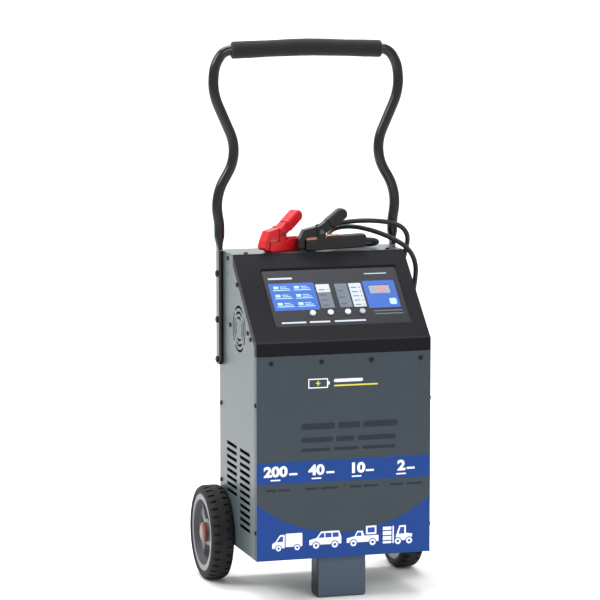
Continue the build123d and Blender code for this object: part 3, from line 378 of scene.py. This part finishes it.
def printed_front():
    material = finish("printed_front", shade(53, 62, 70), spread=0.05, roughness=0.4, grain=650, bump=0.05,
                      worn=rubbed_slate, wear=0.35, edge=0.001, shine=0.25)
    tree = material.node_tree
    shader = tree.nodes["Principled BSDF"]
    paint = shader.inputs["Base Color"].links[0].from_socket
    place = tree.nodes.new("ShaderNodeTexCoord")
    axes = tree.nodes.new("ShaderNodeSeparateXYZ")
    tree.links.new(place.outputs["Object"], axes.inputs["Vector"])

    def sum_of(operation, first, second):
        node = tree.nodes.new("ShaderNodeMath")
        node.operation = operation
        for socket, value in zip(node.inputs, (first, second)):
            if isinstance(value, float):
                socket.default_value = value
            else:
                tree.links.new(value, socket)
        return node.outputs["Value"]

    x, y, z = axes.outputs["X"], axes.outputs["Y"], axes.outputs["Z"]
    band = sum_of("MULTIPLY", sum_of("GREATER_THAN", z, BAND_LOW), sum_of("LESS_THAN", z, BAND_HIGH))
    rise = sum_of("SUBTRACT", z, ARC_CENTRE_Z)
    away = sum_of("POWER", sum_of("ADD", sum_of("MULTIPLY", x, x), sum_of("MULTIPLY", rise, rise)), 0.5)
    field = sum_of("MULTIPLY", sum_of("GREATER_THAN", away, ARC_R), sum_of("LESS_THAN", z, FIELD_TOP))
    on_face = sum_of("LESS_THAN", y, FRONT_Y / 1000 + PRINT_REACH)
    printed = sum_of("MULTIPLY", sum_of("MAXIMUM", band, field), on_face)
    inked = lay_over(tree, paint, shade(8, 58, 130), printed)
    tree.links.new(inked, shader.inputs["Base Color"])
    return material


dress(printed_front(), "front_panel")


# The lettering's stand-ins on the front: ratings, bars and a badge in white, dark and
# yellow ink, screen printed over the coat. Each colour is a thin film on the face.
INK_T = 0.12               # an ink film, thick enough to be a solid of its own
INK_GAP = 0.03             # between a film and what lies under it
front_face = Matrix(((1, 0, 0, 0), (0, 0, -1, FRONT_Y), (0, 1, 0, 0), (0, 0, 0, 1)))


def bar(left, low, right, high, corner=0.0):
    """A rectangle's outline, with rounded corners."""
    if not corner:
        return [(left, low), (right, low), (right, high), (left, high)]
    corner = min(corner, (right - left) / 2.001, (high - low) / 2.001)
    outline = []
    centres = ((right - corner, low + corner, -90), (right - corner, high - corner, 0),
               (left + corner, high - corner, 90), (left + corner, low + corner, 180))
    for across, up, start in centres:
        for step in range(5):
            angle = radians(start + step * 22.5)
            outline.append((across + corner * cos(angle), up + corner * sin(angle)))
    return outline


def disc(across, up, radius):
    return [(across + radius * cos(step * pi / 12), up + radius * sin(step * pi / 12)) for step in range(24)]


def ink(name, outlines, face, material, lift=INK_GAP):
    """Printed shapes: each outline is a thin film on the face."""
    points, faces = [], []
    for outline in outlines:
        start, count = len(points), len(outline)
        for height in (lift, lift + INK_T):
            points += [(face @ Vector((across, up, height))) / 1000 for across, up in outline]
        faces.append(tuple(range(start + count - 1, start - 1, -1)))
        faces.append(tuple(range(start + count, start + 2 * count)))
        faces += [(start + i, start + (i + 1) % count, start + count + (i + 1) % count, start + count + i)
                  for i in range(count)]
    piece = new_mesh(name, points, faces)
    piece.data.materials.append(material)
    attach(piece, "case")


FIGURE_HEIGHT = 24.5
FIGURE_BASE = 225.0
FIGURE_STRETCH = 1.16


def numerals(text, left):
    """Plain figures, cut as a film and laid on the front."""
    name = f"rating_{text}"
    data = bpy.data.curves.new(name, "FONT")
    data.body = text
    data.size = FIGURE_HEIGHT
    data.offset = FIGURE_HEIGHT * 0.045
    data.extrude = INK_T / 2
    data.resolution_u = 6
    figure = bpy.data.objects.new(name + "_outline", data)
    bpy.context.collection.objects.link(figure)
    bpy.context.view_layer.update()
    mesh = bpy.data.meshes.new_from_object(figure.evaluated_get(bpy.context.evaluated_depsgraph_get()))
    bpy.data.objects.remove(figure)
    place = Matrix.Translation((left, FIGURE_BASE, INK_GAP + INK_T / 2))
    widened = front_face @ place @ Matrix.Diagonal((FIGURE_STRETCH, 1, 1, 1))
    mesh.transform(Matrix.Scale(0.001, 4) @ widened)
    mesh.name = name
    mesh.materials.clear()
    mesh.materials.append(white_ink)
    piece = bpy.data.objects.new(name, mesh)
    bpy.context.collection.objects.link(piece)
    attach(piece, "case")


def printing_ink(name, colour, spread, roughness=0.45, grain=1500, **others):
    """An ink lies even and nearly smooth, with no edge to wear."""
    return finish(name, colour, spread=spread, roughness=roughness, grain=grain, bump=0.03,
                  edge=0.0001, **others)


white_ink = printing_ink("white_ink", shade(236, 240, 244), 0.03)
title_ink = printing_ink("title_ink", shade(36, 42, 51), 0.08, shine=0.2)
yellow_ink = printing_ink("yellow_ink", shade(214, 206, 70), 0.05)

for rating, left in (("200", -147), ("40", -65), ("10", 10), ("2", 99)):
    numerals(rating, left)
units = []
captions = []
for number_left, number_width in ((-147, 42), (-65, 28), (10, 26), (99, 13)):
    right = number_left + number_width + 4
    middle = number_left + number_width / 2
    units += [bar(right, 226, right + 15, 229.5, 1), bar(middle - 9, 217, middle + 9, 219.4, 0.9)]
for left, width in ((-143, 44), (-72, 60), (10, 52), (84, 62)):
    captions += [bar(left, 198, left + width * 0.42, 202, 1),
                 bar(left + width * 0.5, 198, left + width, 202, 1)]
captions += [bar(across, 195, across + 0.8, 206) for across in (-85, 0, 76)]
ink("rating_units", units, front_face, white_ink)
ink("rating_captions", captions, front_face, title_ink)

# Plain bars stand where a title would be. The badge is a small battery with a spark, and two
# bars beside it.
title = []
for low, high, widths in ((305, 316, (62, 40, 64)), (282, 291, (58, 34, 70)), (266, 272, (54, 46, 62))):
    left = -79.0
    for width in widths:
        title.append(bar(left, low, left + width, high, 3))
        left += width + 6
ink("title_bars", title, front_face, title_ink)
battery = [bar(-66, 378, -30, 379.8, 1), bar(-66, 393.2, -30, 395, 1), bar(-66, 379.8, -64.2, 393.2),
           bar(-31.8, 379.8, -30, 393.2), bar(-30, 383.5, -27, 389.5, 1)]
ink("badge_battery", battery, front_face, white_ink)
ink("badge_spark", [[(-46.5, 392), (-53, 386), (-48.4, 386), (-50, 381), (-43, 387.4), (-47.4, 387.4)]],
    front_face, yellow_ink)
ink("badge_bar_white", [bar(-19, 387.5, 34, 393, 2.5)], front_face, white_ink)
ink("badge_bar_yellow", [bar(-19, 380, 62, 382.6, 1.3)], front_face, yellow_ink)


# Four little pictures of vehicles along the bottom of the front: white bodies, with blue
# windows laid on them, then white wheels and blue wheel centres.
VEHICLE_GRID = 60.0
VEHICLE_BASE = 91
blue_ink = printing_ink("blue_ink", shade(8, 58, 158), 0.03, roughness=0.4)


def vehicle(name, left, width, body, windows, wheels):
    """Outlines are given on a grid 60 wide and drawn at the width of the printed picture."""
    scale = width / VEHICLE_GRID
    layer = INK_T + INK_GAP

    def drawn(outlines):
        return [[(left + across * scale, VEHICLE_BASE + up * scale) for across, up in outline]
                for outline in outlines]

    arches = [disc(across, up, radius + 1.6) for across, up, radius in wheels]
    tyres = [disc(across, up, radius) for across, up, radius in wheels]
    centres = [disc(across, up, radius * 0.45) for across, up, radius in wheels]
    ink(name, drawn(body), front_face, white_ink)
    ink(name + "_windows", drawn(windows), front_face, blue_ink, lift=INK_GAP + layer)
    ink(name + "_arches", drawn(arches), front_face, blue_ink, lift=INK_GAP + 2 * layer)
    ink(name + "_wheels", drawn(tyres), front_face, white_ink, lift=INK_GAP + 3 * layer)
    ink(name + "_wheel_centres", drawn(centres), front_face, blue_ink, lift=INK_GAP + 4 * layer)


truck = [[(1, 6), (25, 6), (25, 31), (16, 31), (7, 18), (1, 15)], bar(27, 8, 59, 33, 1)]
vehicle("picture_truck", -133, 57, truck, [[(9.5, 18), (22, 18), (22, 28), (17, 28)]], ((13, 6, 5), (49, 6, 5)))
car = [[(1, 8), (59, 8), (59, 20), (55, 31), (22, 31), (14, 20), (1, 17)]]
car_windows = [[(17, 20), (28, 20), (28, 28), (23, 28)], bar(30, 20, 41, 28, 0.8), bar(43, 20, 54, 28, 0.8)]
vehicle("picture_car", -65, 61, car, car_windows, ((13, 7, 5.5), (47, 7, 5.5)))
pickup = [[(1, 8), (59, 8), (59, 19), (33, 19), (30, 28), (20, 28), (15, 19), (1, 16)],
          bar(36, 21, 55, 36, 1)]
pickup_windows = [[(17.5, 19), (28, 19), (27, 25.5), (21, 25.5)], bar(39, 24, 52, 33, 1)]
vehicle("picture_pickup", 4, 61, pickup, pickup_windows, ((13, 7, 5.5), (48, 7, 5.5)))
forklift = [[(24, 7), (54, 7), (56, 18), (44, 20), (44, 34), (32, 34), (26, 18)], bar(19, 3, 21.5, 34),
            bar(1, 3, 17, 7, 0.5), bar(1, 9, 17, 16, 0.5), bar(1, 18, 17, 25, 0.5), bar(1, 27, 17, 33, 0.5)]
forklift_windows = [[(30, 19), (41, 19), (41, 31), (34, 31)]]
vehicle("picture_forklift", 71, 60, forklift, forklift_windows, ((29, 6, 5.5), (50, 6, 5.5)))


# The control bezel: one moulding in black plastic with a fine spark texture. Behind its
# window sits the printed polycarbonate overlay with the keys coming up through it.
moulded = finish("moulded_bezel", shade(13, 13, 20), spread=0.08, roughness=0.5, grain=1100, bump=0.22,
                 worn=shade(78, 78, 84), wear=0.35, edge=0.0012, shine=0.13)
overlay_base = finish("overlay_print", shade(16, 19, 30), spread=0.08, roughness=0.26, grain=900, bump=0.03,
                      shine=0.3)
dress(moulded, "control_bezel")
dress(overlay_base, "control_overlay")

SLOPE_FOOT_Z = 463.0
SLOPE_TOP_Z = 600.0
SLOPE_FOOT_DEPTH = 4.4
SLOPE_TOP_DEPTH = 153.75
SLOPE_LENGTH = sqrt((SLOPE_TOP_Z - SLOPE_FOOT_Z) ** 2 + (SLOPE_TOP_DEPTH - SLOPE_FOOT_DEPTH) ** 2)
SLOPE_RISE = (SLOPE_TOP_Z - SLOPE_FOOT_Z) / SLOPE_LENGTH
SLOPE_RUN = (SLOPE_TOP_DEPTH - SLOPE_FOOT_DEPTH) / SLOPE_LENGTH
OVERLAY_SUNK = 3.0
overlay_face = Matrix(((1, 0, 0, 0),
                       (0, SLOPE_RUN, -SLOPE_RISE, FRONT_Y + SLOPE_FOOT_DEPTH + OVERLAY_SUNK * SLOPE_RISE),
                       (0, SLOPE_RISE, SLOPE_RUN, SLOPE_FOOT_Z - OVERLAY_SUNK * SLOPE_RUN),
                       (0, 0, 0, 1)))
ON_TOP = INK_GAP + INK_T + INK_GAP     # a second film, clear of the first


def overlay_ink(name, outlines, material, lift=INK_GAP):
    ink(name, outlines, overlay_face, material, lift)


panel_blue = printing_ink("overlay_blue", shade(6, 82, 176), 0.08, roughness=0.28, grain=900, blotch=30)
pale_blue = printing_ink("overlay_pale_blue", shade(172, 214, 244), 0.06, roughness=0.3, grain=900)
pale_grey = printing_ink("overlay_pale_grey", shade(186, 194, 204), 0.05, roughness=0.3, grain=900)
mid_grey = printing_ink("overlay_mid_grey", shade(92, 100, 116), 0.06, roughness=0.3, grain=900)
green_mark = printing_ink("overlay_green", shade(60, 140, 96), 0.06, roughness=0.3, grain=900)
dark_ink = printing_ink("dark_ink", shade(34, 38, 46), 0.08)
overlay_ink("overlay_guide_panel", [bar(-109, 71, -26, 134, 2)], panel_blue)
guide = []
for row in range(3):
    for column in range(2):
        left = -103 + column * 38
        low = 79 + row * 19
        guide += [bar(left, low, left + 32, low + 1.6, 0.7),
                  bar(left + 2, low + 4, left + 11, low + 10, 1),
                  bar(left + 14, low + 4, left + 30, low + 5.4, 0.6),
                  bar(left + 14, low + 8, left + 26, low + 9.4, 0.6)]
overlay_ink("overlay_guide_lines", guide, pale_blue, lift=ON_TOP)
overlay_ink("overlay_stripe_battery", [bar(-23, 74, 2, 109, 0.8)], mid_grey)
overlay_ink("overlay_stripe_battery_top", [bar(-23, 110, 2, 129, 0.8)], pale_grey)
overlay_ink("overlay_stripe_rate", [bar(12, 74, 35, 129, 0.8)], mid_grey)
overlay_ink("overlay_stripe_status", [bar(38, 74, 61, 129, 0.8)], pale_grey)
overlay_ink("overlay_lamps", [disc(57, up, 1.5) for up in (79, 89, 99, 109, 119)]
            + [disc(31, up, 1.5) for up in (82, 97, 112)] + [disc(-2, up, 1.5) for up in (80, 92, 104, 116)],
            green_mark, lift=ON_TOP)
overlay_ink("overlay_stripe_lines",
            [bar(41, up, 52, up + 1.6, 0.6) for up in (78.2, 88.2, 98.2, 108.2, 118.2)]
            + [bar(15, up, 26, up + 1.6, 0.6) for up in (81.2, 96.2, 111.2)]
            + [bar(-20, up, -8, up + 1.6, 0.6) for up in (79.2, 91.2, 103.2, 115.2)], dark_ink, lift=ON_TOP)
# The blue panel is cut round the display, so it is drawn as a frame of four strips.
overlay_ink("overlay_display_panel", [bar(65, 70, 124, 102.2, 1), bar(65, 122.8, 124, 133, 1),
                                      bar(65, 102.2, 73.2, 122.8), bar(113.8, 102.2, 124, 122.8)], panel_blue)
overlay_ink("overlay_display_patch", [bar(106, 77, 119, 91, 3)], pale_blue, lift=ON_TOP)
overlay_ink("overlay_foot_lines", [bar(72, 55, 125, 57, 0.8), bar(72, 62, 125, 64, 0.8)], mid_grey)
footer = [bar(left, 41, right, 44.6, 1.4) for left, right in ((-103, -58), (-52, -14), (-6, 52))]
overlay_ink("overlay_footer", footer, pale_grey)
overlay_ink("overlay_header", [bar(-107, 143, -62, 147, 1.6), bar(73, 149, 115, 151, 0.9)], pale_grey)


# The display: a small tinted window set in the overlay, over the display module. It is
# solid here, so the three lit figures lie on its face. The keys are white caps, glossy
# from use, and the last of them is a greyer plastic.
lens = finish("display_lens", shade(112, 130, 152), spread=0.04, roughness=0.12, grain=900, bump=0.02,
              coat=0.4)
lit = finish("display_figures", shade(240, 62, 34), spread=0.05, roughness=0.4, grain=900, bump=0.02,
             edge=0.0001)
glow = lit.node_tree.nodes["Principled BSDF"]
glow.inputs["Emission Color"].default_value = shade(232, 96, 50)
glow.inputs["Emission Strength"].default_value = 0.6
dress(lens, "display_window")
SEGMENTS = {"a": (1, 11, 6, 12.2), "b": (6, 6.6, 7.2, 11), "c": (6, 1.2, 7.2, 5.8), "d": (1, 0, 6, 1.2),
            "e": (-0.2, 1.2, 1, 5.8), "f": (-0.2, 6.6, 1, 11), "g": (1, 5.6, 6, 6.8)}
DISPLAY_LEFT = 80
DISPLAY_BASE = 106.4
DISPLAY_STEP = 9.5
figures = []
for place, strokes in enumerate(("bc", "abged", "abcdef")):
    start = DISPLAY_LEFT + place * DISPLAY_STEP
    for stroke in strokes:
        left, low, right, high = SEGMENTS[stroke]
        figures.append(bar(start + left, DISPLAY_BASE + low, start + right, DISPLAY_BASE + high))
ink("display_figures", figures, overlay_face, lit)
key_white = finish("key_white", shade(222, 222, 230), spread=0.04, roughness=0.24, grain=900, bump=0.03,
                   worn=shade(244, 244, 246), wear=0.4, edge=0.0006)
key_grey = finish("key_grey", shade(160, 174, 168), spread=0.05, roughness=0.3, grain=900, bump=0.03,
                  worn=shade(206, 214, 208), wear=0.4, edge=0.0006)
dress(key_white, "mode_button", "battery_type_button", "charge_rate_button")
dress(key_grey, "display_select_button")


# Screws and handle bolts: blackened steel, their raised rims rubbed bright by the driver.
black_steel = finish("blackened_steel", shade(20, 21, 24), spread=0.2, roughness=0.38, metal=0.6, grain=1200,
                     bump=0.1, blotch=90, worn=shade(120, 122, 126), wear=0.5, edge=0.0005)
dress(black_steel, "case_screws", "handle_bolts")


# The wheels: solid rubber tyres pressed on silver-grey moulded hubs with a reddish cap.
# The tread's block tops are scuffed greyer than its grooves.
tyre_rubber = finish("tyre_rubber", shade(24, 24, 26), spread=0.2, roughness=0.72, grain=500, bump=0.25,
                     blotch=40, worn=shade(78, 77, 76), wear=0.45, edge=0.0012, shine=0.3)
hub_plastic = finish("hub_plastic", shade(99, 101, 105), spread=0.07, roughness=0.36, grain=800, bump=0.06,
                     worn=shade(160, 160, 164), wear=0.4, edge=0.001)
cap_plastic = finish("cap_plastic", shade(112, 66, 58), spread=0.1, roughness=0.36, grain=800, bump=0.05,
                     worn=shade(158, 108, 98), wear=0.35)
dress(tyre_rubber, "left_tyre", "right_tyre")
dress(hub_plastic, "left_hub", "right_hub")
dress(cap_plastic, "left_hub_cap", "right_hub_cap")


# The handle: bent steel tube with flattened, bolted legs, in gloss black powder coat.
gloss_black = finish("gloss_black", shade(12, 12, 14), spread=0.15, roughness=0.22, roughness_spread=0.08,
                     grain=650, bump=0.06, worn=shade(80, 80, 84), wear=0.25, shine=0.45)
dress(gloss_black, "handle_tube")

# The grip: closed-cell foam sleeve pushed over the handle's top bar. It is a little
# pressed in where hands hold it, and its cut ends are rounded over.
GRIP_HALF = 141.0
GRIP_R = 15.8
GRIP_BORE = 9.6
GRIP_DEPTH = 230.0
CROWN_Z = 964.0
CROWN_BEND = 1000.0
CROWN_SLOPE = 5.2 / 155.0
BEND_HALF = 33.5
END_ROUND = 4.0
PALMS = (-70.0, 70.0)
PALM_REACH = 38.0
PALM_DEPTH = 0.45
RIPPLE = 0.12
RIPPLE_FROM = 13           # smaller rings are the cut ends, which stay plain


def crown_height(across):
    """The top bar's centre line: two straight runs and a long easy bend between them."""
    if abs(across) > BEND_HALF:
        return CROWN_Z - CROWN_SLOPE * abs(across)
    return CROWN_Z - CROWN_SLOPE * BEND_HALF / 2 - across ** 2 / (2 * CROWN_BEND)


def foam_grip():
    around = 64
    along = 150
    rings = [(-GRIP_HALF, GRIP_BORE)]          # across, and radius
    for step in range(along + 1):
        across = -GRIP_HALF + 2 * GRIP_HALF * step / along
        from_end = GRIP_HALF - abs(across)
        radius = GRIP_R
        if from_end < END_ROUND:
            radius -= END_ROUND - sqrt(END_ROUND ** 2 - (END_ROUND - from_end) ** 2)
        held = sum(max(0.0, 1 - ((across - palm) / PALM_REACH) ** 2) for palm in PALMS)
        rings.append((across, radius - PALM_DEPTH * held))
    rings.append((GRIP_HALF, GRIP_BORE))
    points = []
    for across, radius in rings:
        for turn in range(around):
            angle = 2 * pi * turn / around
            reach = radius
            if radius > RIPPLE_FROM:
                reach += RIPPLE * sin(across * 0.21 + 3 * angle) * sin(across * 0.083 - angle)
                reach -= RIPPLE
            height = crown_height(across) + reach * sin(angle)
            points.append(spot(across, GRIP_DEPTH + reach * cos(angle), height))
    count = len(rings)
    faces = []
    for ring in range(count):
        after = (ring + 1) % count
        for turn in range(around):
            beside = (turn + 1) % around
            faces.append((ring * around + turn, after * around + turn, after * around + beside,
                          ring * around + beside))
    grip = new_mesh("foam_grip", points, faces)
    shell = bmesh.new()
    shell.from_mesh(grip.data)
    bmesh.ops.recalc_face_normals(shell, faces=shell.faces)
    shell.to_mesh(grip.data)
    shell.free()
    for face in grip.data.polygons:
        face.use_smooth = True
    return grip


foam = finish("grip_foam", shade(26, 25, 28), spread=0.14, roughness=0.86, grain=1300, bump=0.5, blotch=45,
              edge=0.0002, sheen=0.12, shine=0.3)
grip = foam_grip()
grip.data.materials.append(foam)
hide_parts("handle_grip")
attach(grip, "case")


# The cooling fan: a black moulded frame and rotor behind the left side's grille. The
# display module, the key switches and the diodes are moulded in the same black.
fan_black = finish("fan_plastic", shade(30, 30, 33), spread=0.1, roughness=0.45, grain=800, bump=0.08,
                   worn=shade(70, 70, 74), wear=0.3)
dress(fan_black, "fan_frame", "fan_rotor", "display_module", "button_switches", "rectifier_diodes")


# What can be seen through the vents: the transformer's laminated core and varnished
# winding, the rectifier on its extruded heatsink, the capacitor and the control board.
core_steel = finish("core_steel", shade(96, 96, 100), spread=0.2, roughness=0.5, metal=0.7, grain=1800,
                    bump=0.3, worn=shade(150, 150, 154), wear=0.4)
winding = finish("winding_varnish", shade(142, 74, 34), spread=0.25, roughness=0.3, grain=1400, bump=0.4,
                 coat=0.3)
heatsink = finish("heatsink_aluminium", shade(190, 192, 196), spread=0.08, roughness=0.35, metal=0.95,
                  grain=1400, bump=0.1)
sleeve = finish("capacitor_sleeve", shade(36, 46, 92), spread=0.1, roughness=0.32, grain=800, bump=0.04,
                coat=0.2)
board_green = finish("board_green", shade(24, 88, 52), spread=0.12, roughness=0.35, grain=1800, bump=0.12,
                     coat=0.2)
dress(core_steel, "transformer_core")
dress(winding, "transformer_winding")
dress(heatsink, "rectifier_heatsink")
dress(sleeve, "smoothing_capacitor")
dress(board_green, "control_board")


# On the rear panel: the moulded mains inlet, and a breaker with a red reset button.
dress(fan_black, "mains_inlet", "circuit_breaker")
reset_red = finish("reset_red", shade(176, 34, 36), spread=0.08, roughness=0.3, grain=800, bump=0.05,
                   worn=shade(220, 96, 96), wear=0.4)
dress(reset_red, "breaker_button")
